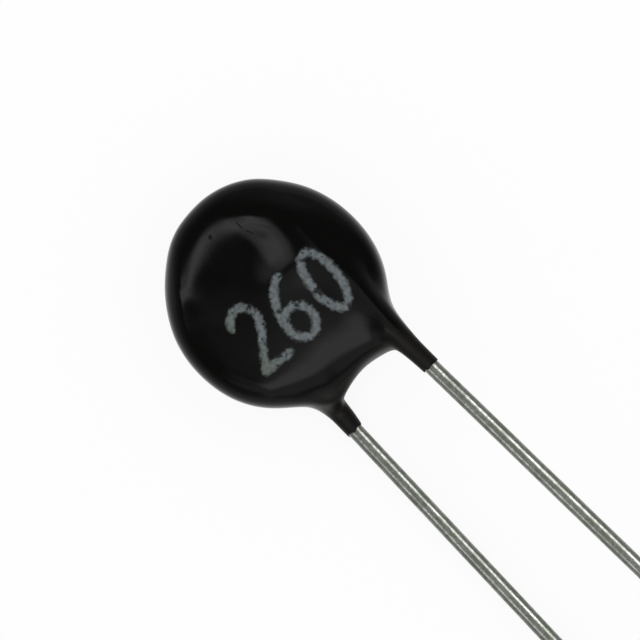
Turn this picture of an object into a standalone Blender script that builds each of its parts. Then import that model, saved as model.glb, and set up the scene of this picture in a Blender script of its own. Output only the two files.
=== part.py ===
"""An NTC disc thermistor with two radial leads.

A sintered ceramic disc has a fired silver electrode on each face. A tinned wire is soldered to
each electrode, and the whole is dipped in black resin, which runs a little way down the wires.
The part lies on its back on the floor: the disc's faces look up and down, and the leads run
towards -Y, the front one on the upper face and the rear one under the lower face.
Everything is built round the disc's centre and then set down on the floor.
"""

import math

import bmesh
import bpy
from mathutils import Vector

MM = 0.001

# Disc and electrodes
DISC_DIAMETER = 9.5 * MM
DISC_THICKNESS = 2.2 * MM
DISC_EDGE_ROUND = 0.15 * MM
ELECTRODE_MARGIN = 0.4 * MM  # bare ceramic outside each electrode
ELECTRODE_THICKNESS = 0.03 * MM

# Leads
LEAD_DIAMETER = 0.8 * MM
LEAD_PITCH = 5.08 * MM  # between the wires' axes, where the shorter sleeve ends
LEAD_OFFSET = 0.55 * MM  # of the middle between the wires from the disc's centre line
LEAD_SPLAY = math.radians(1.4)  # each wire leans outwards by this
LEAD_LENGTH = 27.0 * MM  # below the coating's lower edge
LEAD_REACH = 2.0 * MM  # above the disc's centre, where the wire ends on the electrode

# Solder
SOLDER_LENGTH = 4.0 * MM
SOLDER_WIDTH = 1.9 * MM
SOLDER_UNDER_LEAD = 0.1 * MM
SOLDER_OVER_LEAD = 0.1 * MM

# Coating
COAT_SIDE = 0.84 * MM  # beside the disc
COAT_END = 1.22 * MM  # above and below the disc, where the resin gathers as it drains
COAT_FACE = 0.9 * MM  # over the electrodes
COAT_OVER_LEAD = 0.34 * MM
COAT_WEB = 0.13 * MM  # how far the lower edge is drawn down beside each lead, on its inner side
COAT_ARCH = 0.28 * MM  # how far it arches up midway between the leads
COAT_LEAN = 0.03  # the upper half leans towards the front lead's side, as the resin drained
COAT_TAPER = 0.04  # the body narrows by this share towards its upper end, and widens below
COAT_ROUNDNESS = 3.0  # exponent of the rim's rounded section: 2 is an ellipse
SLEEVE_FRONT = 2.3 * MM  # how far each sleeve runs down its wire, below the coating's lower edge
SLEEVE_REAR = 1.95 * MM
SLEEVE_WALL_TOP = 0.11 * MM
SLEEVE_WALL_END = 0.07 * MM

FIT = 0.02 * MM  # clearance between each piece and the one that it seats on or in

# How finely round things are drawn
DISC_SEGMENTS = 48
SOLDER_SEGMENTS = 24
WIRE_SIDES = 16
COAT_LEVELS = 2
WELD = 1e-7  # corners closer than this are one

# Worked out from the sizes above
DISC_RADIUS = DISC_DIAMETER / 2
LEAD_RADIUS = LEAD_DIAMETER / 2
ELECTRODE_RADIUS = DISC_RADIUS - ELECTRODE_MARGIN
ELECTRODE_BASE = DISC_THICKNESS / 2 + FIT
ELECTRODE_TOP = ELECTRODE_BASE + ELECTRODE_THICKNESS
SOLDER_BASE = ELECTRODE_TOP + FIT
LEAD_HEIGHT = SOLDER_BASE + SOLDER_UNDER_LEAD + LEAD_RADIUS
SOLDER_TOP = LEAD_HEIGHT + LEAD_RADIUS + SOLDER_OVER_LEAD
BODY_HALF_WIDTH = DISC_RADIUS + COAT_SIDE
BODY_HALF_LENGTH = DISC_RADIUS + COAT_END
BODY_HALF_THICKNESS = ELECTRODE_TOP + COAT_FACE
RIDGE_TOP = LEAD_HEIGHT + LEAD_RADIUS + COAT_OVER_LEAD
LEAD_TIP_Y = -BODY_HALF_LENGTH - LEAD_LENGTH
PITCH_Y = -BODY_HALF_LENGTH - SLEEVE_REAR

FRONT, REAR = 1, -1  # the side of the disc, and of its centre line, that a lead is on
SLEEVE_LENGTH = {FRONT: SLEEVE_FRONT, REAR: SLEEVE_REAR}
SIDE_NAME = {FRONT: "front", REAR: "rear"}


def clear_scene():
    for obj in list(bpy.data.objects):
        bpy.data.objects.remove(obj, do_unlink=True)


def collection(name, hidden=False):
    made = bpy.data.collections.new(name)
    made.hide_render = hidden
    bpy.context.scene.collection.children.link(made)
    return made


def material(name, colour, roughness, metallic=0.0):
    made = bpy.data.materials.new(name)
    made.use_nodes = True
    shader = made.node_tree.nodes["Principled BSDF"]
    shader.inputs["Base Color"].default_value = (*colour, 1.0)
    shader.inputs["Roughness"].default_value = roughness
    shader.inputs["Metallic"].default_value = metallic
    made.diffuse_color = (*colour, 1.0)
    return made


def mesh_object(name, bm, home):
    mesh = bpy.data.meshes.new(name)
    bm.to_mesh(mesh)
    bm.free()
    obj = bpy.data.objects.new(name, mesh)
    home.objects.link(obj)
    return obj


def turned(name, profile, home):
    """A solid turned round Z from (radius, height) points, given from the top down."""
    bm = bmesh.new()
    points = [bm.verts.new((radius, 0, height)) for radius, height in profile]
    for upper, lower in zip(points, points[1:]):
        bm.edges.new((upper, lower))
    obj = mesh_object(name, bm, home)
    screw = obj.modifiers.new("Turn", "SCREW")
    screw.steps = screw.render_steps = DISC_SEGMENTS
    screw.use_merge_vertices = True
    screw.merge_threshold = WELD
    return obj


def make_cutter(obj):
    obj.hide_render = True
    obj.display_type = "WIRE"
    return obj


def cut(obj, cutters):
    for cutter in cutters:
        modifier = obj.modifiers.new("Cut " + cutter.name, "BOOLEAN")
        modifier.operation = "DIFFERENCE"
        modifier.solver = "EXACT"
        modifier.object = cutter


def ceramic_disc(home):
    half = DISC_THICKNESS / 2
    edge = DISC_EDGE_ROUND
    corner = [
        (DISC_RADIUS - edge + edge * math.sin(a), half - edge + edge * math.cos(a))
        for a in (math.radians(step * 30) for step in range(4))
    ]
    lower = [(radius, -height) for radius, height in reversed(corner)]
    return turned("ceramic_disc", [(0, half), *corner, *lower, (0, -half)], home)


def electrode(side, home):
    near, far = side * ELECTRODE_BASE, side * ELECTRODE_TOP
    top, bottom = max(near, far), min(near, far)
    profile = [(0, top), (ELECTRODE_RADIUS, top), (ELECTRODE_RADIUS, bottom), (0, bottom)]
    return turned(SIDE_NAME[side] + "_electrode", profile, home)


def disc_pocket(home):
    """The room in the coating for the disc and both electrodes, a clearance larger all round."""
    upper = [
        (0, ELECTRODE_TOP + FIT),
        (ELECTRODE_RADIUS + FIT, ELECTRODE_TOP + FIT),
        (ELECTRODE_RADIUS + FIT, ELECTRODE_BASE),
        (DISC_RADIUS + FIT, ELECTRODE_BASE),
    ]
    lower = [(radius, -height) for radius, height in reversed(upper)]
    return make_cutter(turned("disc_pocket", upper + lower, home))


def lead_x(side, y):
    """Where the axis of a lead is across the part, at this distance along it."""
    return LEAD_OFFSET + side * (LEAD_PITCH / 2 + (PITCH_Y - y) * math.tan(LEAD_SPLAY))


def wire(name, side, radius, top_y, bottom_y, home):
    """A round wire along a lead's axis between two distances, as a mesh with welded caps."""
    curve = bpy.data.curves.new(name + "_path", "CURVE")
    curve.dimensions = "3D"
    curve.bevel_depth = radius
    curve.bevel_resolution = WIRE_SIDES // 2 - 2
    curve.use_fill_caps = True
    spline = curve.splines.new("POLY")
    spline.points.add(1)
    for point, y in zip(spline.points, (top_y, bottom_y)):
        point.co = (lead_x(side, y), y, side * LEAD_HEIGHT, 1)
    path = bpy.data.objects.new(name + "_path", curve)
    home.objects.link(path)
    bpy.context.view_layer.update()
    evaluated = path.evaluated_get(bpy.context.evaluated_depsgraph_get())
    mesh = bpy.data.meshes.new_from_object(evaluated)
    bm = bmesh.new()
    bm.from_mesh(mesh)
    bmesh.ops.remove_doubles(bm, verts=bm.verts, dist=WELD)
    bpy.data.objects.remove(path)
    bpy.data.curves.remove(curve)
    bpy.data.meshes.remove(mesh)
    return mesh_object(name, bm, home)


def lead(side, home):
    name = SIDE_NAME[side] + "_lead"
    return wire(name, side, LEAD_RADIUS, LEAD_REACH, LEAD_TIP_Y, home)


def lead_bore(side, home):
    """The way for a lead through its solder and the coating, open below the sleeve."""
    name = SIDE_NAME[side] + "_lead_bore"
    end = -BODY_HALF_LENGTH - SLEEVE_LENGTH[side] - LEAD_DIAMETER
    return make_cutter(wire(name, side, LEAD_RADIUS + FIT, LEAD_REACH + FIT, end, home))


def solder_mound(name, side, grown, home):
    """Half an egg of solder with its flat side on the electrode, grown by a clearance."""
    bm = bmesh.new()
    rings = SOLDER_SEGMENTS // 2
    bmesh.ops.create_uvsphere(bm, u_segments=SOLDER_SEGMENTS, v_segments=rings, radius=1)
    flat = bmesh.ops.bisect_plane(
        bm,
        geom=bm.verts[:] + bm.edges[:] + bm.faces[:],
        plane_co=(0, 0, 0),
        plane_no=(0, 0, -1),
        clear_outer=True,
    )
    rim = [item for item in flat["geom_cut"] if isinstance(item, bmesh.types.BMEdge)]
    bmesh.ops.contextual_create(bm, geom=rim)
    bmesh.ops.remove_doubles(bm, verts=bm.verts, dist=WELD)
    bmesh.ops.recalc_face_normals(bm, faces=bm.faces)
    if side == REAR:
        bmesh.ops.reverse_faces(bm, faces=bm.faces)
    centre_y = LEAD_REACH - SOLDER_LENGTH / 2
    centre = Vector((lead_x(side, centre_y), centre_y, side * (SOLDER_BASE - grown)))
    half = Vector((SOLDER_WIDTH / 2, SOLDER_LENGTH / 2, SOLDER_TOP - SOLDER_BASE))
    half += Vector((grown, grown, 2 * grown))
    for vert in bm.verts:
        vert.co = centre + Vector(
            (vert.co.x * half.x, vert.co.y * half.y, side * vert.co.z * half.z)
        )
    return mesh_object(name, bm, home)


def solder(side, bore, home):
    mound = solder_mound(SIDE_NAME[side] + "_solder", side, 0, home)
    cut(mound, [bore])
    return mound


def solder_pocket(side, home):
    name = SIDE_NAME[side] + "_solder_pocket"
    return make_cutter(solder_mound(name, side, FIT, home))


# The coating's cage is a box of grid cells, 8 across, 6 along and 4 deep. Lines 1 to 3 across
# run beside and over the rear lead, and lines 5 to 7 over the front one, so that the sleeves
# grow out of four cells each. Levels 0 and 4 are the rear and front faces, and 2 is the rim.
COLUMNS, ROWS, LEVELS = 8, 6, 4
ONE_CELL = 1.5  # more than a cell's diagonal and less than two cells
LEAD_COLUMN = {FRONT: 6, REAR: 2}
LEAD_LEVEL = {FRONT: 3, REAR: 1}
FACE_LEVEL = {FRONT: 4, REAR: 0}
FLANK = 0.78 * MM  # from a lead's axis to the cage lines beside it, where the sleeve leaves
RIDGE_FLANK = 1.5 * MM  # the same on the face, where the coating rises gently over the lead
RIDGE_RUNOUT = 1.4 * MM  # past the wire's end, where the rise has died away
FACE_SHARE, BEVEL_SHARE = 0.84, 0.965  # of the body's outline, at the face's edge and below it
SLEEVE_STATIONS = (0.3, 0.6, 0.85, 1.0)  # of the way down each sleeve


def through(before, wanted, after):
    """The cage value whose smoothed surface passes through the wanted one."""
    return (6 * wanted - before - after) / 4


RIM_SHARE = through(BEVEL_SHARE, 1.0, BEVEL_SHARE)
LEVEL_SHARE = (FACE_SHARE, BEVEL_SHARE, RIM_SHARE, BEVEL_SHARE, FACE_SHARE)
PERIMETER = 2 * (COLUMNS + ROWS)
OUTLINE_GROWTH = 3 / (2 + math.cos(2 * math.pi / PERIMETER))
RING_GROWTH = 3 / (2 + math.cos(math.pi / 4))


def half_width(y):
    """Half the body's width, were its sides straight, at this distance along it."""
    return BODY_HALF_WIDTH * (1 - COAT_TAPER * y / BODY_HALF_LENGTH)


def oval_y(x, share, end):
    """Where the body's outline, shrunk to a share, lies towards one end at this distance across.
    The width there depends on the answer, which a few rounds settle."""
    y = 0
    for _ in range(4):
        across = x / (share * half_width(y))
        y = end * share * BODY_HALF_LENGTH * math.sqrt(1 - across**2)
    return y


def section_height(x, y):
    """Half the body's thickness at a point, before the leads raise it."""
    reach = math.hypot(x / half_width(y), y / BODY_HALF_LENGTH)
    inside = max(0.0, 1 - reach**COAT_ROUNDNESS)
    return BODY_HALF_THICKNESS * inside ** (1 / COAT_ROUNDNESS)


def lean(y):
    return COAT_LEAN * max(0.0, y)


def column_x(column, share, y, flank=FLANK):
    """Where a cage line is across the body. The outermost ones follow the outline."""
    for side in (FRONT, REAR):
        beside = column - LEAD_COLUMN[side]
        if abs(beside) <= 1:
            return lead_x(side, y) + beside * flank - lean(y)
    if column == COLUMNS // 2:
        return LEAD_OFFSET
    side = FRONT if column == COLUMNS else REAR
    return (lead_x(side, y) + side * (FLANK + share * BODY_HALF_WIDTH)) / 2


def lower_edge(column, share):
    """The cage's lower edge, which follows each lead down a little on its inner side."""
    x = column_x(column, share, -BODY_HALF_LENGTH * share)
    outline = oval_y(x, share, -1)
    drawn = -share * (BODY_HALF_LENGTH + COAT_WEB)
    if column in (LEAD_COLUMN[REAR] + 1, LEAD_COLUMN[FRONT] - 1):
        return drawn
    if column in LEAD_COLUMN.values():
        return (outline + drawn) / 2
    return outline + (share * COAT_ARCH if column == COLUMNS // 2 else 0)


def outline_point(column, row, share):
    along = 2 * row / ROWS - 1
    x = column_x(column, share, BODY_HALF_LENGTH * share)
    y = along * (oval_y(x, share, 1) if along > 0 else -lower_edge(column, share))
    if column in (0, COLUMNS):
        side = FRONT if column else REAR
        x = side * half_width(y) * math.sqrt(share**2 - (y / BODY_HALF_LENGTH) ** 2)
    else:
        on_face = row > 0 and share == FACE_SHARE
        x = column_x(column, share, y, RIDGE_FLANK if on_face else FLANK)
    return x, y


def ridge_height(side, beside, y):
    """How high the coating stands over a lead, on the line over it or beside it."""
    fade = min(1.0, max(0.0, 2 * (LEAD_REACH + RIDGE_RUNOUT - y) / RIDGE_RUNOUT))
    flank = (LEAD_HEIGHT + LEAD_RADIUS + BODY_HALF_THICKNESS) / 2
    top = through(flank, RIDGE_TOP, flank)
    return fade * (top if beside == 0 else flank)


def body_point(column, row, level):
    x, y = outline_point(column, row, LEVEL_SHARE[level])
    if level == LEVELS // 2:
        height = 0.0
    else:
        height = section_height(x, y)
    side = FRONT if level > LEVELS // 2 else REAR
    beside = column - LEAD_COLUMN[side]
    if level == FACE_LEVEL[side] and abs(beside) <= 1:
        height = max(height, ridge_height(side, beside, y))
    return Vector(((x + lean(y)) * OUTLINE_GROWTH, y * OUTLINE_GROWTH, side * height))


def sleeve_point(column, station, level):
    side = FRONT if column > COLUMNS // 2 else REAR
    share = SLEEVE_STATIONS[station - 1]
    y = -BODY_HALF_LENGTH - share * SLEEVE_LENGTH[side]
    wall = SLEEVE_WALL_TOP + share * (SLEEVE_WALL_END - SLEEVE_WALL_TOP)
    out = Vector((column - LEAD_COLUMN[side], 0, level - LEAD_LEVEL[side]))
    if out.length:
        out.normalize()
    centre = Vector((lead_x(side, y), y, side * LEAD_HEIGHT))
    return centre + out * (LEAD_RADIUS + wall) * RING_GROWTH


def grid_box():
    """A bmesh box whose vertices lie at whole numbers of columns, rows and levels."""
    bm = bmesh.new()
    bmesh.ops.create_cube(bm, size=1)
    counts = (COLUMNS, ROWS, LEVELS)
    for axis, count in enumerate(counts):
        along = [e for e in bm.edges if abs(e.verts[0].co[axis] - e.verts[1].co[axis]) > 0.5]
        bmesh.ops.subdivide_edges(bm, edges=along, cuts=count - 1, use_grid_fill=True)
    bmesh.ops.translate(bm, verts=bm.verts, vec=(0.5, 0.5, 0.5))
    bmesh.ops.scale(bm, verts=bm.verts, vec=counts)
    return bm


def extrude_sleeve(bm, side):
    """Draws four cells of the box's lower side out, one row for each station."""
    centre = Vector((LEAD_COLUMN[side], 0, LEAD_LEVEL[side]))
    cells = [
        face
        for face in bm.faces
        if max((vert.co - centre).length for vert in face.verts) < ONE_CELL
        and all(abs(vert.co.y) < 0.5 for vert in face.verts)
    ]
    for _ in SLEEVE_STATIONS:
        grown = bmesh.ops.extrude_face_region(bm, geom=cells)["geom"]
        bmesh.ops.delete(bm, geom=cells, context="FACES")
        verts = [item for item in grown if isinstance(item, bmesh.types.BMVert)]
        cells = [item for item in grown if isinstance(item, bmesh.types.BMFace)]
        bmesh.ops.translate(bm, verts=verts, vec=(0, -1, 0))
    crease = bm.edges.layers.float.get("crease_edge") or bm.edges.layers.float.new("crease_edge")
    for edge in {edge for face in cells for edge in face.edges}:
        if sum(face in cells for face in edge.link_faces) == 1:
            edge[crease] = 1.0


def coating(cutters, home):
    bm = grid_box()
    for side in (FRONT, REAR):
        extrude_sleeve(bm, side)
    for vert in bm.verts:
        column, row, level = (round(value) for value in vert.co)
        if row < 0:
            vert.co = sleeve_point(column, -row, level)
        else:
            vert.co = body_point(column, row, level)
    obj = mesh_object("coating", bm, home)
    smooth = obj.modifiers.new("Smooth", "SUBSURF")
    smooth.levels = smooth.render_levels = COAT_LEVELS
    cut(obj, cutters)
    return obj


def set_down(pieces):
    """Parents the pieces to an empty that lays them on the floor, centred on the origin."""
    bpy.context.view_layer.update()
    graph = bpy.context.evaluated_depsgraph_get()
    corners = [Vector(c) for piece in pieces for c in piece.evaluated_get(graph).bound_box]
    low = [min(corner[axis] for corner in corners) for axis in range(3)]
    high = [max(corner[axis] for corner in corners) for axis in range(3)]
    base = bpy.data.objects.new("thermistor_base", None)
    bpy.context.scene.collection.objects.link(base)
    base.location = (-(low[0] + high[0]) / 2, -(low[1] + high[1]) / 2, -low[2])
    for obj in list(bpy.data.objects):
        if obj.type == "MESH":
            obj.parent = base


def main():
    clear_scene()
    parts = collection("ntc_disc_thermistor")
    cutters = collection("cutters", hidden=True)

    resin = material("black_resin", (0.012, 0.012, 0.013), 0.22)
    ceramic = material("ntc_ceramic", (0.07, 0.065, 0.06), 0.75)
    silver = material("fired_silver", (0.76, 0.75, 0.71), 0.45, 1.0)
    tin = material("solder_tin", (0.60, 0.60, 0.61), 0.35, 1.0)
    tinned = material("tinned_wire", (0.63, 0.62, 0.59), 0.30, 1.0)

    pieces = {ceramic_disc(parts): ceramic}
    bores = {side: lead_bore(side, cutters) for side in (FRONT, REAR)}
    for side in (FRONT, REAR):
        pieces[electrode(side, parts)] = silver
        pieces[solder(side, bores[side], parts)] = tin
        pieces[lead(side, parts)] = tinned
    pockets = [disc_pocket(cutters), *(solder_pocket(side, cutters) for side in (FRONT, REAR))]
    pieces[coating([*pockets, *bores.values()], parts)] = resin

    for obj, finish in pieces.items():
        obj.data.materials.append(finish)
        obj.data.shade_smooth()
        obj.data.set_sharp_from_angle(angle=math.radians(40))
    set_down(pieces)


main()
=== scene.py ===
"""The looks of an NTC disc thermistor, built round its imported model.

The coating is drawn again on a cage like the solid's, much finer and a little fuller round the
leads' roots, with the gentle unevenness of dipped resin, ragged sleeve ends and a worn stamped
number. The leads are drawn again as round, softly mottled tinned wire. The disc, its electrodes
and the solder stay hidden inside.
Lengths are worked out in the part's own frame, round the disc's centre, and then set in place.
"""

import math

import bmesh
import bpy
from mathutils import Matrix, Vector, noise


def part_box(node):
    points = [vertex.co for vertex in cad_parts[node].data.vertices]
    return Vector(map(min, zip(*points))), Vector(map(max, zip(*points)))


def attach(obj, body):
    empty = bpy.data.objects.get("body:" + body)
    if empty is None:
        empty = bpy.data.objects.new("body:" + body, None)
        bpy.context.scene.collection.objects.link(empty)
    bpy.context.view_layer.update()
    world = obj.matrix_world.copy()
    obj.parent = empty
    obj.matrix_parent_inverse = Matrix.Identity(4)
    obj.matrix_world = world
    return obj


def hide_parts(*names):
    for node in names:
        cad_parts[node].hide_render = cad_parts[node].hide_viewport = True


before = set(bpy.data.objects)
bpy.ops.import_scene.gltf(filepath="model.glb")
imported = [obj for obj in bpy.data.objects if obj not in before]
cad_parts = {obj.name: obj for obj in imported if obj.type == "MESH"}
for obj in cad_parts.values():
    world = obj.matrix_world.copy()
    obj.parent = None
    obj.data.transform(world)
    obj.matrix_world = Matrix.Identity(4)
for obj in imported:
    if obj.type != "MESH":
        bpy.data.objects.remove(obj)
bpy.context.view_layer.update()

MM = 0.001
FRONT, REAR = 1, -1  # the side of the disc, and of its centre line, that a lead is on
SIDE_NAME = {FRONT: "front", REAR: "rear"}

# The solid's own sizes, but for the web between the leads, which hangs lower and arches less
DISC_DIAMETER = 9.5 * MM
DISC_THICKNESS = 2.2 * MM
ELECTRODE_MARGIN = 0.4 * MM
ELECTRODE_THICKNESS = 0.03 * MM
LEAD_DIAMETER = 0.8 * MM
LEAD_PITCH = 5.08 * MM
LEAD_OFFSET = 0.55 * MM
LEAD_SPLAY = math.radians(1.4)
LEAD_LENGTH = 27.0 * MM
LEAD_REACH = 2.0 * MM
SOLDER_LENGTH = 4.0 * MM
SOLDER_WIDTH = 1.9 * MM
SOLDER_UNDER_LEAD = 0.1 * MM
SOLDER_OVER_LEAD = 0.1 * MM
COAT_SIDE = 0.84 * MM
COAT_END = 1.22 * MM
COAT_FACE = 0.9 * MM
COAT_OVER_LEAD = 0.34 * MM
COAT_WEB = 0.24 * MM
COAT_ARCH = 0.19 * MM
COAT_LEAN = 0.03
COAT_TAPER = 0.04
COAT_ROUNDNESS = 3.0
SLEEVE_LENGTH = {FRONT: 2.3 * MM, REAR: 1.95 * MM}
SLEEVE_WALL_TOP = 0.11 * MM
SLEEVE_WALL_END = 0.07 * MM
FIT = 0.02 * MM

DISC_RADIUS = DISC_DIAMETER / 2
LEAD_RADIUS = LEAD_DIAMETER / 2
ELECTRODE_TOP = DISC_THICKNESS / 2 + FIT + ELECTRODE_THICKNESS
SOLDER_BASE = ELECTRODE_TOP + FIT
LEAD_HEIGHT = SOLDER_BASE + SOLDER_UNDER_LEAD + LEAD_RADIUS
SOLDER_TOP = LEAD_HEIGHT + LEAD_RADIUS + SOLDER_OVER_LEAD
BODY_HALF_WIDTH = DISC_RADIUS + COAT_SIDE
BODY_HALF_LENGTH = DISC_RADIUS + COAT_END
BODY_HALF_THICKNESS = ELECTRODE_TOP + COAT_FACE
RIDGE_TOP = LEAD_HEIGHT + LEAD_RADIUS + COAT_OVER_LEAD
LEAD_TIP_Y = -BODY_HALF_LENGTH - LEAD_LENGTH
PITCH_Y = -BODY_HALF_LENGTH - SLEEVE_LENGTH[REAR]

disc_low, disc_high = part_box("ceramic_disc")
CENTRE = (disc_low + disc_high) / 2


# Camera: it looks straight down, turned so that the leads run to the picture's lower right
VIEW_WIDTH = 32.82 * MM  # of the picture, at the disc's height
VIEW_CENTRE = (0.709 * MM, -2.642 * MM)  # from the disc's centre
VIEW_TURN = math.radians(-44.56)
VIEW_DISTANCE = 0.25
SENSOR = 36.0


def make_camera():
    data = bpy.data.cameras.new("camera")
    data.sensor_width = SENSOR
    data.lens = SENSOR * VIEW_DISTANCE / VIEW_WIDTH
    data.clip_start = 0.01
    camera = bpy.data.objects.new("camera", data)
    bpy.context.scene.collection.objects.link(camera)
    camera.location = CENTRE + Vector((*VIEW_CENTRE, VIEW_DISTANCE))
    camera.rotation_euler = (0, 0, VIEW_TURN)
    bpy.context.scene.camera = camera


# Nodes


class Nodes:
    """A node tree being filled, and short ways to add and join its nodes."""

    def __init__(self, tree):
        self.tree = tree

    def add(self, kind, inputs=None, **settings):
        made = self.tree.nodes.new("ShaderNode" + kind)
        for name, value in settings.items():
            setattr(made, name, value)
        self.set(made, inputs or {})
        return made

    def set(self, made, inputs):
        for key, value in inputs.items():
            socket = made.inputs[key]
            if isinstance(value, bpy.types.NodeSocket):
                self.tree.links.new(value, socket)
            else:
                socket.default_value = value

    def math(self, operation, *values):
        return self.add("Math", dict(enumerate(values)), operation=operation).outputs[0]

    def vector(self, operation, *values, output=0):
        made = self.add("VectorMath", dict(enumerate(values)), operation=operation)
        return made.outputs[output]

    def length(self, vector):
        return self.vector("LENGTH", vector, output="Value")

    def ramp(self, value, low, high, to_low=0.0, to_high=1.0):
        """Goes smoothly from to_low to to_high as the value goes from low to high."""
        limits = {"From Min": low, "From Max": high, "To Min": to_low, "To Max": to_high}
        made = self.add("MapRange", {"Value": value, **limits}, interpolation_type="SMOOTHSTEP")
        return made.outputs["Result"]

    def local(self, vector, middle, half, turn):
        """Coordinates about a place, turned by degrees, and 1 at its half sizes."""
        frame_of_place = {
            "Vector": vector,
            "Location": (*middle, 0),
            "Rotation": (0, 0, math.radians(turn)),
            "Scale": half,
        }
        return self.add("Mapping", frame_of_place, vector_type="TEXTURE").outputs[0]

    def ray_is(self, *kinds):
        """1 where the ray is of any of the kinds, named as Light Path's outputs, and else 0."""
        outputs = self.add("LightPath").outputs
        total = 0.0
        for kind in kinds:
            total = self.math("MAXIMUM", total, outputs[kind])
        return total


class Finish(Nodes):
    """A material being made."""

    def __init__(self, name):
        self.material = bpy.data.materials.new(name)
        self.material.use_nodes = True
        super().__init__(self.material.node_tree)
        self.shader = self.tree.nodes["Principled BSDF"]

    def surface(self, **inputs):
        """Sets the shader's own sockets, named with underscores for spaces."""
        self.set(self.shader, {name.replace("_", " "): value for name, value in inputs.items()})

    def millimetres(self, scale=(1, 1, 1)):
        """Object coordinates in millimetres from the disc's centre."""
        place = self.add("TexCoord").outputs["Object"]
        moved = self.vector("SUBTRACT", place, CENTRE)
        sized = self.add("Mapping", {"Vector": moved, "Scale": [value / MM for value in scale]})
        return sized.outputs[0]

    def noise(self, vector, scale, detail=2.0, roughness=0.5):
        inputs = {"Vector": vector, "Scale": scale, "Detail": detail, "Roughness": roughness}
        return self.add("TexNoise", inputs).outputs["Fac"]

    def blend(self, share, first, second):
        """A colour between two, by a share from 0 to 1."""
        made = self.add("Mix", data_type="RGBA")
        self.set(made, {0: share, 6: colour(first), 7: colour(second)})
        return made.outputs[2]

    def mark(self, place, middle, half, turn):
        """1 at the middle of a small oval mark on either face, and 0 past its edge."""
        local = self.local(place, middle, (*half, MARK_REACH), turn)
        return self.ramp(self.length(local), 1.0, 0.4)

    def bump(self, height, distance, normal=None):
        inputs = {"Height": height, "Distance": distance, "Strength": 1.0}
        if normal is not None:
            inputs["Normal"] = normal
        return self.add("Bump", inputs).outputs[0]


def colour(value):
    """A socket as it is, or three numbers as a colour."""
    return value if isinstance(value, bpy.types.NodeSocket) else (*value, 1.0)


# Meshes


def mesh_object(name, bm):
    mesh = bpy.data.meshes.new(name)
    bm.to_mesh(mesh)
    bm.free()
    obj = bpy.data.objects.new(name, mesh)
    bpy.context.scene.collection.objects.link(obj)
    return obj


def apply_modifiers(obj):
    """Replaces the object's mesh by what its modifiers make of it."""
    bpy.context.view_layer.update()
    graph = bpy.context.evaluated_depsgraph_get()
    made = bpy.data.meshes.new_from_object(obj.evaluated_get(graph))
    obj.modifiers.clear()
    obj.data = made


def set_in_place(obj, finish, sharp=math.radians(40)):
    obj.data.transform(Matrix.Translation(CENTRE))
    obj.data.materials.clear()
    obj.data.materials.append(finish)
    obj.data.shade_smooth()
    obj.data.set_sharp_from_angle(angle=sharp)


def cut(obj, cutters):
    for cutter in cutters:
        modifier = obj.modifiers.new("Cut " + cutter.name, "BOOLEAN")
        modifier.operation = "DIFFERENCE"
        modifier.solver = "EXACT"
        modifier.object = cutter
    apply_modifiers(obj)
    for cutter in cutters:
        bpy.data.objects.remove(cutter)


# The leads


def lead_x(side, y):
    """Where the axis of a lead is across the part, at this distance along it."""
    return LEAD_OFFSET + side * (LEAD_PITCH / 2 + (PITCH_Y - y) * math.tan(LEAD_SPLAY))


def rod(name, side, radius, top_y, bottom_y, segments, rings):
    """A round rod along a lead's axis between two distances."""
    top = Vector((lead_x(side, top_y), top_y, side * LEAD_HEIGHT))
    bottom = Vector((lead_x(side, bottom_y), bottom_y, side * LEAD_HEIGHT))
    bm = bmesh.new()
    bmesh.ops.create_cone(
        bm,
        cap_ends=True,
        segments=segments,
        radius1=radius,
        radius2=radius,
        depth=(top - bottom).length,
    )
    if rings:
        long = [e for e in bm.edges if abs(e.verts[0].co.z - e.verts[1].co.z) > radius]
        bmesh.ops.subdivide_edges(bm, edges=long, cuts=rings)
    turn = (top - bottom).to_track_quat("Z", "X").to_matrix().to_4x4()
    place = Matrix.Translation((top + bottom) / 2)
    bmesh.ops.transform(bm, verts=bm.verts, matrix=place @ turn)
    return mesh_object(name, bm)


# The coating's cage: the solid's, with wider flanks to the ridges and fuller lead roots
COLUMNS, ROWS, LEVELS = 8, 6, 4
ONE_CELL = 1.5
LEAD_COLUMN = {FRONT: 6, REAR: 2}
LEAD_LEVEL = {FRONT: 3, REAR: 1}
FACE_LEVEL = {FRONT: 4, REAR: 0}
FLANK = 0.78 * MM  # from a lead's line to the cage lines beside it, at the rim
RIDGE_FLANK = 1.5 * MM  # the same on a face, on the ridge's inner side
RIDGE_SIDE = 1.0 * MM  # and on its outer side
RIDGE_SIDE_DROP = 0.12 * MM  # how much lower the outer side is
ROOT_RISE = (0.85, 0.8, 0.7)  # shares of the lead's height that its root has, row by row
RIDGE_RUNOUT = 1.4 * MM
FACE_SHARE, BEVEL_SHARE = 0.84, 0.965
SLEEVE_STATIONS = (0.3, 0.6, 0.85, 1.0)
# How much wider a sleeve is on its inner side, at each station
SLEEVE_FLARE = {FRONT: (0.08 * MM, 0.03 * MM, 0, 0), REAR: (0.16 * MM, 0.13 * MM, 0.05 * MM, 0)}


def through(before, wanted, after):
    """The cage value whose smoothed surface passes through the wanted one."""
    return (6 * wanted - before - after) / 4


RIM_SHARE = through(BEVEL_SHARE, 1.0, BEVEL_SHARE)
LEVEL_SHARE = (FACE_SHARE, BEVEL_SHARE, RIM_SHARE, BEVEL_SHARE, FACE_SHARE)
PERIMETER = 2 * (COLUMNS + ROWS)
OUTLINE_GROWTH = 3 / (2 + math.cos(2 * math.pi / PERIMETER))
RING_GROWTH = 3 / (2 + math.cos(math.pi / 4))


def half_width(y):
    """Half the body's width, were its sides straight, at this distance along it."""
    return BODY_HALF_WIDTH * (1 - COAT_TAPER * y / BODY_HALF_LENGTH)


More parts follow.
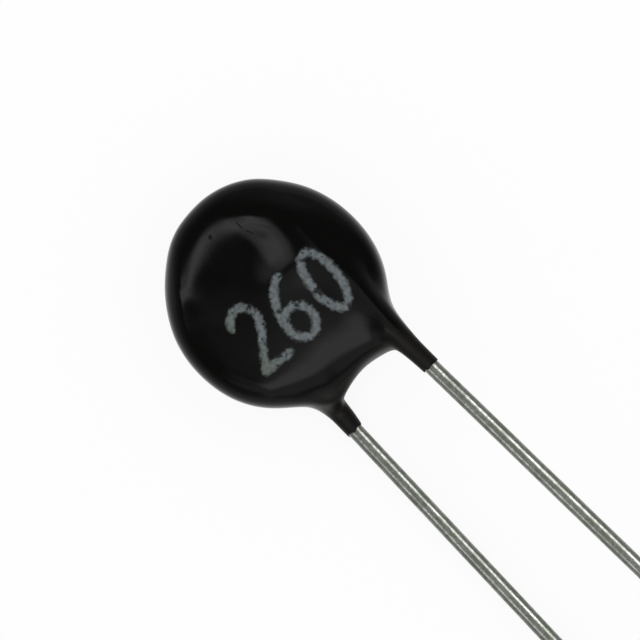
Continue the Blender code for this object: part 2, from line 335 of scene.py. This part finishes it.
def oval_y(x, share, end):
    """Where the body's outline, shrunk to a share, lies towards one end at this distance across.
    The width there depends on the answer, which a few rounds settle."""
    y = 0
    for _ in range(4):
        across = x / (share * half_width(y))
        y = end * share * BODY_HALF_LENGTH * math.sqrt(1 - across**2)
    return y


def section_height(x, y):
    """Half the body's thickness at a point, before the leads raise it."""
    reach = math.hypot(x / half_width(y), y / BODY_HALF_LENGTH)
    inside = max(0.0, 1 - reach**COAT_ROUNDNESS)
    return BODY_HALF_THICKNESS * inside ** (1 / COAT_ROUNDNESS)


def lean(y):
    return COAT_LEAN * max(0.0, y)


def column_x(column, share, y, flank=FLANK):
    """Where a cage line is across the body. The outermost ones follow the outline."""
    for side in (FRONT, REAR):
        beside = column - LEAD_COLUMN[side]
        if abs(beside) <= 1:
            return lead_x(side, y) + beside * flank - lean(y)
    if column == COLUMNS // 2:
        return LEAD_OFFSET
    side = FRONT if column == COLUMNS else REAR
    return (lead_x(side, y) + side * (FLANK + share * BODY_HALF_WIDTH)) / 2


def lower_edge(column, share):
    """The cage's lower edge, which follows each lead down a little on its inner side."""
    x = column_x(column, share, -BODY_HALF_LENGTH * share)
    outline = oval_y(x, share, -1)
    drawn = -share * (BODY_HALF_LENGTH + COAT_WEB)
    if column in (LEAD_COLUMN[REAR] + 1, LEAD_COLUMN[FRONT] - 1):
        return drawn
    if column in LEAD_COLUMN.values():
        return (outline + drawn) / 2
    return outline + (share * COAT_ARCH if column == COLUMNS // 2 else 0)


def outline_point(column, row, share):
    along = 2 * row / ROWS - 1
    x = column_x(column, share, BODY_HALF_LENGTH * share)
    y = along * (oval_y(x, share, 1) if along > 0 else -lower_edge(column, share))
    if column in (0, COLUMNS):
        side = FRONT if column else REAR
        x = side * half_width(y) * math.sqrt(share**2 - (y / BODY_HALF_LENGTH) ** 2)
    else:
        flank = FLANK
        if row > 0 and share == FACE_SHARE:
            flank = RIDGE_SIDE if column in (1, COLUMNS - 1) else RIDGE_FLANK
        x = column_x(column, share, y, flank)
    return x, y


def ridge_height(side, beside, y):
    """How high the coating stands over a lead, on the line over it or beside it."""
    fade = min(1.0, max(0.0, 2 * (LEAD_REACH + RIDGE_RUNOUT - y) / RIDGE_RUNOUT))
    inner = (LEAD_HEIGHT + LEAD_RADIUS + BODY_HALF_THICKNESS) / 2
    outer = inner - RIDGE_SIDE_DROP
    return fade * {0: through(inner, RIDGE_TOP, outer), -side: inner, side: outer}[beside]


def body_point(column, row, level):
    x, y = outline_point(column, row, LEVEL_SHARE[level])
    height = 0.0 if level == LEVELS // 2 else section_height(x, y)
    side = FRONT if level > LEVELS // 2 else REAR
    beside = column - LEAD_COLUMN[side]
    if level == FACE_LEVEL[side] and abs(beside) <= 1:
        height = max(height, ridge_height(side, beside, y))
    if level == LEAD_LEVEL[side] and row < len(ROOT_RISE) and beside * side >= -1:
        height = max(height, ROOT_RISE[row] * LEAD_HEIGHT)
    return Vector(((x + lean(y)) * OUTLINE_GROWTH, y * OUTLINE_GROWTH, side * height))


def sleeve_point(column, station, level):
    side = FRONT if column > COLUMNS // 2 else REAR
    share = SLEEVE_STATIONS[station - 1]
    y = -BODY_HALF_LENGTH - share * SLEEVE_LENGTH[side]
    wall = SLEEVE_WALL_TOP + share * (SLEEVE_WALL_END - SLEEVE_WALL_TOP)
    out = Vector((column - LEAD_COLUMN[side], 0, level - LEAD_LEVEL[side]))
    if out.length:
        out.normalize()
    centre = Vector((lead_x(side, y), y, side * LEAD_HEIGHT))
    flare = SLEEVE_FLARE[side][station - 1] * max(0.0, -side * out.x)
    return centre + out * ((LEAD_RADIUS + wall) * RING_GROWTH + flare)


def grid_box():
    """A bmesh box whose vertices lie at whole numbers of columns, rows and levels."""
    bm = bmesh.new()
    bmesh.ops.create_cube(bm, size=1)
    counts = (COLUMNS, ROWS, LEVELS)
    for axis, count in enumerate(counts):
        along = [e for e in bm.edges if abs(e.verts[0].co[axis] - e.verts[1].co[axis]) > 0.5]
        bmesh.ops.subdivide_edges(bm, edges=along, cuts=count - 1, use_grid_fill=True)
    bmesh.ops.translate(bm, verts=bm.verts, vec=(0.5, 0.5, 0.5))
    bmesh.ops.scale(bm, verts=bm.verts, vec=counts)
    return bm


def extrude_sleeve(bm, side):
    """Draws four cells of the box's lower side out, one row for each station."""
    centre = Vector((LEAD_COLUMN[side], 0, LEAD_LEVEL[side]))
    cells = [
        face
        for face in bm.faces
        if max((vert.co - centre).length for vert in face.verts) < ONE_CELL
        and all(abs(vert.co.y) < 0.5 for vert in face.verts)
    ]
    for _ in SLEEVE_STATIONS:
        grown = bmesh.ops.extrude_face_region(bm, geom=cells)["geom"]
        bmesh.ops.delete(bm, geom=cells, context="FACES")
        verts = [item for item in grown if isinstance(item, bmesh.types.BMVert)]
        cells = [item for item in grown if isinstance(item, bmesh.types.BMFace)]
        bmesh.ops.translate(bm, verts=verts, vec=(0, -1, 0))
    crease = bm.edges.layers.float.get("crease_edge") or bm.edges.layers.float.new("crease_edge")
    for edge in {edge for face in cells for edge in face.edges}:
        if sum(face in cells for face in edge.link_faces) == 1:
            edge[crease] = 1.0


def coating_cage():
    bm = grid_box()
    for side in (FRONT, REAR):
        extrude_sleeve(bm, side)
    for vert in bm.verts:
        column, row, level = (round(value) for value in vert.co)
        if row < 0:
            vert.co = sleeve_point(column, -row, level)
        else:
            vert.co = body_point(column, row, level)
    return bm


# The coating's fine surface
FINE_LEVELS = 4
RIPPLES = ((0.5, 0.004 * MM), (1.6, 0.0012 * MM))  # waves per millimetre, and their height
# Where the resin set a little proud of its smooth form or sank, on the upper face, in millimetres:
# the middle of each place, how far round it reaches, and how high it stands
SWELLS = (
    (2.43, -4.60, 0.80, -0.109),
    (-2.89, 0.86, 2.14, -0.200),
    (1.78, 3.93, 0.80, 0.157),
    (-3.66, 3.69, 0.84, 0.178),
    (-3.69, -3.67, 0.80, 0.193),
    (1.29, 0.48, 0.92, 0.195),
    (-0.10, 4.56, 2.22, -0.144),
    (-2.81, 2.98, 3.21, 0.118),
    (2.38, 1.37, 0.80, -0.064),
    (-2.96, 3.35, 2.21, 0.050),
    (2.95, -2.84, 0.80, -0.040),
    (-1.77, -4.89, 0.80, 0.061),
)
# And where its rim stands out more than all round: the bearing from the disc's centre and how far
# round, in degrees
RIM_SWELLS = ((82, 12, 0.03), (163, 12, 0.06), (212, 18, 0.1), (255, 5, 0.06), (290, 5, 0.06))
RIM_GROWTH = 0.04  # all round, in millimetres
SLEEVE_GROWTH = 0.02 * MM
SLEEVE_BLEND = (-6.6 * MM, -5.7 * MM)  # between these the body's unevenness gives way to a sleeve's
RAGGED_BAND = 0.35 * MM  # of a sleeve's end, which is drawn out unevenly
RAGGED_DEPTH = 0.16 * MM
RAGGED_RATES = (2.3, 6.0)  # waves per millimetre round the end: the broad ones and the fine ones


def uneven(point):
    """How far the resin stands off its smooth form at a point."""
    return sum(height * noise.noise(point / MM * rate) for rate, height in RIPPLES)


def swell(point):
    """How far the upper face has swollen or sunk at a point, less and less towards the rim."""
    reach = math.hypot(point.x / BODY_HALF_WIDTH, point.y / BODY_HALF_LENGTH)
    total = 0.0
    for x, y, spread, height in SWELLS:
        apart = (point.x / MM - x) ** 2 + (point.y / MM - y) ** 2
        total += height * MM * math.exp(-apart / (2 * spread**2))
    return total * max(0.0, 1 - reach**6)


def rim_swell(point):
    """How far the rim stands out at a point, and the body's inside with it, less and less."""
    reach = math.hypot(point.x / BODY_HALF_WIDTH, point.y / BODY_HALF_LENGTH)
    bearing = math.degrees(math.atan2(point.y, point.x)) % 360
    total = RIM_GROWTH
    for middle, spread, height in RIM_SWELLS:
        total += height * math.exp(-(((bearing - middle) / spread) ** 2) / 2)
    return Vector((point.x, point.y, 0)).normalized() * total * MM * min(1.0, reach**4)


def ragged(side, point):
    """How far along the lead a sleeve's end is moved at a point, none above the band."""
    end = -BODY_HALF_LENGTH - SLEEVE_LENGTH[side]
    near = min(1.0, max(0.0, (end + RAGGED_BAND - point.y) / RAGGED_BAND))
    across = Vector((point.x, 0, point.z)) / MM
    broad, fine = (noise.noise(across * rate) for rate in RAGGED_RATES)
    return near**2 * RAGGED_DEPTH * (broad + 0.5 * fine)


def roughen(mesh):
    normals = [vert.normal.copy() for vert in mesh.vertices]
    low, high = SLEEVE_BLEND
    for vert, normal in zip(mesh.vertices, normals):
        body = min(1.0, max(0.0, (vert.co.y - low) / (high - low)))
        risen = swell(vert.co) if vert.co.z > 0 else 0.0
        grown = (0.5 + body / 2) * uneven(vert.co) + (1 - body) * SLEEVE_GROWTH
        side = FRONT if vert.co.x > LEAD_OFFSET else REAR
        drawn = ragged(side, vert.co)
        vert.co += normal * grown + body * rim_swell(vert.co) + Vector((0, drawn, risen))


def disc_pocket():
    """The room for the disc and both electrodes, a clearance larger all round."""
    bm = bmesh.new()
    bmesh.ops.create_cone(
        bm,
        cap_ends=True,
        segments=96,
        radius1=DISC_RADIUS + FIT,
        radius2=DISC_RADIUS + FIT,
        depth=2 * (ELECTRODE_TOP + FIT),
    )
    return mesh_object("disc_pocket", bm)


def solder_pocket(side):
    """Half an egg over the solder's mound, a clearance larger."""
    bm = bmesh.new()
    bmesh.ops.create_uvsphere(bm, u_segments=32, v_segments=16, radius=1)
    centre_y = LEAD_REACH - SOLDER_LENGTH / 2
    half = (
        SOLDER_WIDTH / 2 + FIT,
        SOLDER_LENGTH / 2 + FIT,
        SOLDER_TOP - SOLDER_BASE + 2 * FIT,
    )
    bmesh.ops.scale(bm, verts=bm.verts, vec=half)
    centre = (lead_x(side, centre_y), centre_y, side * (SOLDER_BASE - FIT))
    bmesh.ops.translate(bm, verts=bm.verts, vec=centre)
    return mesh_object(SIDE_NAME[side] + "_solder_pocket", bm)


def lead_bore(side):
    end = -BODY_HALF_LENGTH - SLEEVE_LENGTH[side] - LEAD_DIAMETER
    name = SIDE_NAME[side] + "_lead_bore"
    return rod(name, side, LEAD_RADIUS + FIT, LEAD_REACH + FIT, end, 48, 0)


# The stamped number. Its strokes are given in millimetres about each digit's middle.
DIGIT_SPOTS = ((-2.2, -0.95), (0.05, -1.15), (2.3, -1.35))
DIGIT_TURN = math.radians(-5)
STROKE_WIDTH = 0.42
STAMP_BOX = ((-4, -4), (4, 1.5))  # round all the ink, so that nothing is worked out past it
NO_INK = 1.0  # a distance that is well outside every stroke


def arc(centre, radii, start, end, steps=24):
    """Points along an ellipse's arc, with angles in degrees anticlockwise from +X."""
    angles = [math.radians(start + (end - start) * step / steps) for step in range(steps + 1)]
    return [
        Vector((centre[0] + radii[0] * math.cos(a), centre[1] + radii[1] * math.sin(a)))
        for a in angles
    ]


def digit_two():
    bow = arc((0, 0.85), (0.72, 0.85), 165, -35)
    return [bow + [Vector((-0.75, -1.7)), Vector((0.8, -1.7))]]


def digit_six():
    stem = arc((0.95, -0.8), (1.7, 2.5), 106, 180)
    return [stem, arc((0, -0.85), (0.75, 0.88), 0, 360)]


def digit_nought():
    return [arc((0, 0), (0.72, 1.7), 0, 360)]


def stamped_strokes():
    """Every stroke of the number, in millimetres from the disc's centre."""
    turn = Matrix.Rotation(DIGIT_TURN, 2)
    strokes = []
    for spot, digit in zip(DIGIT_SPOTS, (digit_two(), digit_six(), digit_nought())):
        strokes += [[Vector(spot) + turn @ point for point in stroke] for stroke in digit]
    return strokes


def distance_to_stroke(point, stroke):
    best = math.inf
    for start, end in zip(stroke, stroke[1:]):
        along = end - start
        share = min(1.0, max(0.0, (point - start).dot(along) / along.length_squared))
        best = min(best, (point - start - share * along).length)
    return best


def write_ink_distance(mesh):
    """Keeps on each vertex how far it is outside the nearest stroke's edge, in millimetres."""
    strokes = stamped_strokes()
    (left, bottom), (right, top) = STAMP_BOX
    attribute = mesh.attributes.new("ink_distance", "FLOAT", "POINT")
    for vert, kept in zip(mesh.vertices, attribute.data):
        kept.value = NO_INK
        point = vert.co.xy / MM
        upper = vert.co.z > 0.5 * BODY_HALF_THICKNESS
        if upper and left < point.x < right and bottom < point.y < top:
            near = min(distance_to_stroke(point, stroke) for stroke in strokes)
            kept.value = near - STROKE_WIDTH / 2


def make_coating(finish):
    obj = mesh_object("dipped_coating", coating_cage())
    smooth = obj.modifiers.new("Smooth", "SUBSURF")
    smooth.levels = smooth.render_levels = FINE_LEVELS
    apply_modifiers(obj)
    roughen(obj.data)
    sides = (FRONT, REAR)
    cut(obj, [disc_pocket(), *map(solder_pocket, sides), *map(lead_bore, sides)])
    write_ink_distance(obj.data)
    set_in_place(obj, finish)
    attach(obj, "root")
    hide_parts("coating")


# The wires' fine surface
WIRE_RADIUS = 0.415 * MM
WIRE_SIDES = 48
WIRE_RINGS = 220
WIRE_SWELL = 0.006 * MM  # how deep its shallow dips are
WIRE_WAVES = Vector((900, 350, 900))  # dips per metre across, along and up
TIP_ROUND = 0.05 * MM


def make_lead(side, finish):
    name = SIDE_NAME[side] + "_lead"
    obj = rod("tinned_" + name, side, WIRE_RADIUS, LEAD_REACH, LEAD_TIP_Y, WIRE_SIDES, WIRE_RINGS)
    bm = bmesh.new()
    bm.from_mesh(obj.data)
    rims = [edge for edge in bm.edges if any(len(face.verts) > 4 for face in edge.link_faces)]
    bmesh.ops.bevel(
        bm,
        geom=rims,
        offset=TIP_ROUND,
        offset_type="OFFSET",
        affect="EDGES",
        segments=3,
        profile=0.5,
        material=-1,
    )
    for vert in bm.verts:
        y = vert.co.y
        out = vert.co - Vector((lead_x(side, y), y, side * LEAD_HEIGHT))
        dip = min(0.0, noise.noise(vert.co * WIRE_WAVES + Vector((0, 0, side))))
        vert.co += out.normalized() * WIRE_SWELL * dip
    bm.to_mesh(obj.data)
    bm.free()
    set_in_place(obj, finish, sharp=math.radians(60))
    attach(obj, "root")
    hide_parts(name)
    return obj


# Finishes

# Small marks in the resin's face, in millimetres from the disc's centre: the middle, the half
# length and half width, and the turn in degrees. A nick, and a fine scratch in two strokes.
MARKS = (
    ((-0.30, 4.28), (0.17, 0.13), 60),
    ((1.17, 3.66), (0.40, 0.07), -88),
    ((1.30, 3.05), (0.34, 0.05), -68),
)
MARK_REACH = 1000  # so large that a mark is the same at any height


RESIN = (0.0031, 0.0029, 0.0027)
SLEEVE_RESIN = (0.0076, 0.0064, 0.0046)  # thinner there, and browner
SLEEVE_FADE = (-5.3, -6.5)  # millimetres along, from the body's resin to the sleeves'
INK = (0.136, 0.160, 0.168)
GREENISH_INK = (0.110, 0.134, 0.112)
GREENISH_FADE = (-1.8, -3.2)  # millimetres across, from one ink to the other
INK_EDGE = (0.1, -0.12)  # millimetres outside a stroke's edge, from no ink to full ink


def worn_ink(made, place):
    """How much ink is left at a point: strokes with ragged soft edges, bare spots and speckle."""
    distance = made.add("Attribute", attribute_name="ink_distance").outputs["Fac"]
    ragged_edge = made.ramp(made.noise(place, 4.0, 2.0), 0.25, 0.75, -0.06, 0.06)
    inside = made.ramp(made.math("ADD", distance, ragged_edge), *INK_EDGE)
    bare = made.ramp(made.noise(place, 1.7, 3.0, 0.55), 0.33, 0.45, 0.12, 1.0)
    speckle = made.ramp(made.noise(place, 4.5, 2.5, 0.6), 0.3, 0.66, 0.6, 1.0)
    return made.math("MULTIPLY", made.math("MULTIPLY", inside, bare), speckle)


def black_resin():
    made = Finish("black_resin")
    place = made.millimetres()
    x, y, _ = made.add("SeparateXYZ", {0: place}).outputs
    sleeve = made.ramp(y, *SLEEVE_FADE)
    ink = worn_ink(made, place)
    resin = made.blend(sleeve, RESIN, SLEEVE_RESIN)
    ink_colour = made.blend(made.ramp(x, *GREENISH_FADE), INK, GREENISH_INK)

    gloss = made.ramp(made.noise(place, 0.7, 3.0), 0.3, 0.7, 0.11, 0.16)
    matt = made.math("MULTIPLY_ADD", sleeve, 0.3, gloss)
    scuffed = 0.0
    for mark in MARKS:
        scuffed = made.math("MAXIMUM", scuffed, made.mark(place, *mark))
    rough = made.math("MULTIPLY_ADD", made.math("MAXIMUM", ink, scuffed), 0.3, matt)

    skin = made.bump(made.noise(place, 7.0, 3.0, 0.6), 0.0012 * MM)
    dented = made.bump(scuffed, -0.003 * MM, normal=skin)
    relief = made.bump(ink, 0.008 * MM, normal=dented)
    made.surface(Base_Color=made.blend(ink, resin, ink_colour), Roughness=rough, Normal=relief)
    return made.material


def tinned_wire():
    made = Finish("tinned_wire")
    blotch = made.noise(made.millimetres(scale=(1.6, 0.9, 1.6)), 1.0, 4.0, 0.6)
    streak = made.noise(made.millimetres(scale=(7, 0.5, 7)), 1.0, 4.0, 0.65)
    grain = made.noise(made.millimetres(), 4.5, 3.0, 0.6)
    dull = made.ramp(made.math("ADD", blotch, grain), 0.8, 1.2)
    tint = made.blend(dull, (0.48, 0.50, 0.46), (0.31, 0.33, 0.28))
    rough = made.ramp(made.math("ADD", blotch, streak), 0.7, 1.3, 0.24, 0.36)
    lines = made.bump(streak, 0.004 * MM)
    pits = made.bump(grain, 0.012 * MM, normal=lines)
    made.surface(Base_Color=tint, Metallic=0.85, Roughness=rough, Normal=pits)
    return made.material


def plain_metal(name, dark, light, smooth, rough, scale):
    """A metal with grain of a given scale, mottled between two colours and two roughnesses."""
    made = Finish(name)
    grain = made.noise(made.millimetres(), scale, 5.0, 0.6)
    tint = made.blend(made.ramp(grain, 0.3, 0.7), dark, light)
    made.surface(
        Base_Color=tint,
        Metallic=1.0,
        Roughness=made.ramp(grain, 0.3, 0.7, smooth, rough),
        Normal=made.bump(grain, 0.004 * MM),
    )
    return made.material


def sintered_ceramic():
    made = Finish("ntc_ceramic")
    place = made.millimetres()
    grain = made.noise(place, 12.0, 4.0, 0.7)
    cloud = made.noise(place, 0.8, 3.0)
    mixed = made.math("ADD", grain, cloud)
    tint = made.blend(made.ramp(mixed, 0.7, 1.3), (0.035, 0.033, 0.031), (0.085, 0.08, 0.073))
    made.surface(
        Base_Color=tint,
        Roughness=made.ramp(grain, 0.3, 0.7, 0.68, 0.85),
        Normal=made.bump(grain, 0.006 * MM),
    )
    return made.material


def finish_hidden_nodes():
    silver = plain_metal("fired_silver", (0.66, 0.64, 0.58), (0.80, 0.79, 0.75), 0.38, 0.55, 5.0)
    tin = plain_metal("solder_tin", (0.52, 0.52, 0.53), (0.66, 0.66, 0.67), 0.24, 0.42, 2.2)
    finishes = {"ceramic_disc": sintered_ceramic()}
    for side in SIDE_NAME.values():
        finishes[side + "_electrode"] = silver
        finishes[side + "_solder"] = tin
    for name, finish in finishes.items():
        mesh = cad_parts[name].data
        mesh.materials.clear()
        mesh.materials.append(finish)


# Floor and light


FLOOR_REACH = 0.6
HORIZON_GLOW = 0.09  # what a glossy surface mirrors from low down, where floor and world meet
PANEL_FALLOFF = 2.0
SHADOW_SHARE = 0.1  # how much of the floor's look comes from light that falls on it


def make_floor():
    """A white light panel. What is mirrored sees its glow fade towards low angles, as a panel's
    does, which gives the black body and the wires their dark edges."""
    bm = bmesh.new()
    bmesh.ops.create_grid(bm, x_segments=8, y_segments=8, size=FLOOR_REACH)
    floor = mesh_object("floor", bm)
    made = Finish("white_panel")
    made.surface(Base_Color=(0.9, 0.9, 0.9, 1.0), Roughness=0.9, Specular_IOR_Level=0.0)
    camera = made.ray_is("Is Camera Ray")
    mirrored = made.ray_is("Is Glossy Ray", "Is Transmission Ray")
    facing = made.add("LayerWeight", {"Blend": 0.5}).outputs["Facing"]
    upward = made.math("POWER", made.math("SUBTRACT", 1.0, facing), PANEL_FALLOFF)
    reflected = made.math("MULTIPLY_ADD", upward, 1 - HORIZON_GLOW, HORIZON_GLOW)
    strength = made.math("MAXIMUM", camera, made.math("MULTIPLY", mirrored, reflected))
    glow = made.add("Emission", {"Color": (1, 1, 1, 1), "Strength": strength})
    seen = made.math("MAXIMUM", camera, mirrored)
    share = made.math("MULTIPLY", seen, 1 - SHADOW_SHARE)
    mix = made.add("MixShader", {0: share, 1: made.shader.outputs[0], 2: glow.outputs[0]})
    made.tree.links.new(mix.outputs[0], made.tree.nodes["Material Output"].inputs["Surface"])
    made.material.cycles.emission_sampling = "NONE"
    floor.data.materials.append(made.material)


WORLD_LIGHT = 1.0  # the even light that falls on every surface
MIRRORED_GLOOM = 0.012  # what a glossy surface mirrors between the boxes
HORIZON_RISE = (60.0, 90.0)  # degrees from straight up, over which gloom rises to the floor's glow

# What glossy surfaces mirror: soft boxes round the camera, which is dark itself. A place is two
# angles from straight up, in degrees, towards +X and towards +Y. Half sizes and the softness of
# the edges are in degrees too, and the turn is anticlockwise.
SOFT_BOXES = {
    "left_strip": dict(place=(-33, 24), half=(17, 10), turn=-23, soft=4, glow=0.82),
    "top_strip": dict(place=(-11, 27), half=(12, 5), turn=50, soft=4, glow=0.92),
    "bend_strip": dict(place=(-23, 26), half=(16, 15), turn=61, soft=4, glow=0.50),
    "low_panel": dict(place=(-33, -44), half=(26, 34), turn=73, soft=9, glow=0.24),
    "near_panel": dict(place=(-19, -27), half=(26, 13), turn=-12, soft=8, glow=0.70),
    "middle_panel": dict(place=(4, -8), half=(36, 10), turn=8, soft=7, glow=0.23),
}


def looked_in(sky):
    """The direction looked in, as two angles in degrees from straight up."""
    towards = sky.add("TexCoord").outputs[0]
    x, y, z = sky.add("SeparateXYZ", {0: towards}).outputs
    squares = (sky.math("POWER", value, 2) for value in (x, y))
    level = sky.math("SQRT", sky.math("ADD", *squares))
    angle = sky.math("DEGREES", sky.math("ARCCOSINE", z))
    scale = sky.math("DIVIDE", angle, sky.math("MAXIMUM", level, 1e-4))
    angles = {axis: sky.math("MULTIPLY", value, scale) for axis, value in enumerate((x, y))}
    return sky.add("CombineXYZ", angles).outputs[0]


def soft_box(sky, direction, place, half, turn, soft, glow):
    """The glow of one box in the direction looked in, which fades out over its edges."""
    local = sky.vector("ABSOLUTE", sky.local(direction, place, (*half, 1), turn))
    sides = sky.add("SeparateXYZ", {0: local}).outputs
    total = glow
    for across, size in zip(sides, half):
        total = sky.math("MULTIPLY", sky.ramp(across, 1 + soft / size, 1 - soft / size), total)
    return total


def make_world():
    world = bpy.data.worlds.new("studio")
    bpy.context.scene.world = world
    world.use_nodes = True
    sky = Nodes(world.node_tree)
    direction = looked_in(sky)
    mirrored = sky.ramp(sky.length(direction), *HORIZON_RISE, MIRRORED_GLOOM, HORIZON_GLOW)
    for box in SOFT_BOXES.values():
        mirrored = sky.math("MAXIMUM", mirrored, soft_box(sky, direction, **box))
    more = sky.math("SUBTRACT", mirrored, WORLD_LIGHT)
    strength = sky.math("MULTIPLY_ADD", sky.ray_is("Is Glossy Ray"), more, WORLD_LIGHT)
    background = sky.tree.nodes["Background"]
    sky.set(background, {"Color": (1, 1, 1, 1), "Strength": strength})
    world.cycles.sampling_method = "NONE"


# Two strip lamps beside the leads, which draw bright lines along the wires and light them alone
STRIP_MIDDLE_Y = -24.0 * MM  # from the disc's centre
STRIP_LENGTH = 32.0 * MM
STRIP_DISTANCE = 57.0 * MM
# degrees from straight up, width and glow
STRIP_LAMPS = {"right_strip": (40, 21.0 * MM, 4.2), "left_strip": (-56, 16.0 * MM, 1.8)}


def make_strip_lamps(wires):
    lit = bpy.data.collections.new("strip_lit_wires")
    for wire in wires:
        lit.objects.link(wire)
    for name, (degrees, width, glow) in STRIP_LAMPS.items():
        data = bpy.data.lights.new(name, "AREA")
        data.shape = "RECTANGLE"
        data.size, data.size_y = width, STRIP_LENGTH
        data.energy = glow * math.pi * data.size * data.size_y
        lamp = bpy.data.objects.new(name, data)
        bpy.context.scene.collection.objects.link(lamp)
        turn = math.radians(degrees)
        away = Vector((math.sin(turn), 0, math.cos(turn))) * STRIP_DISTANCE
        lamp.location = CENTRE + Vector((LEAD_OFFSET, STRIP_MIDDLE_Y, 0)) + away
        lamp.rotation_euler = (0, turn, 0)
        lamp.visible_camera = False
        lamp.light_linking.receiver_collection = lit


make_camera()
make_coating(black_resin())
wire_finish = tinned_wire()
wires = [make_lead(side, wire_finish) for side in (FRONT, REAR)]
finish_hidden_nodes()
make_floor()
make_world()
make_strip_lamps(wires)

bpy.context.scene.view_settings.view_transform = "Standard"
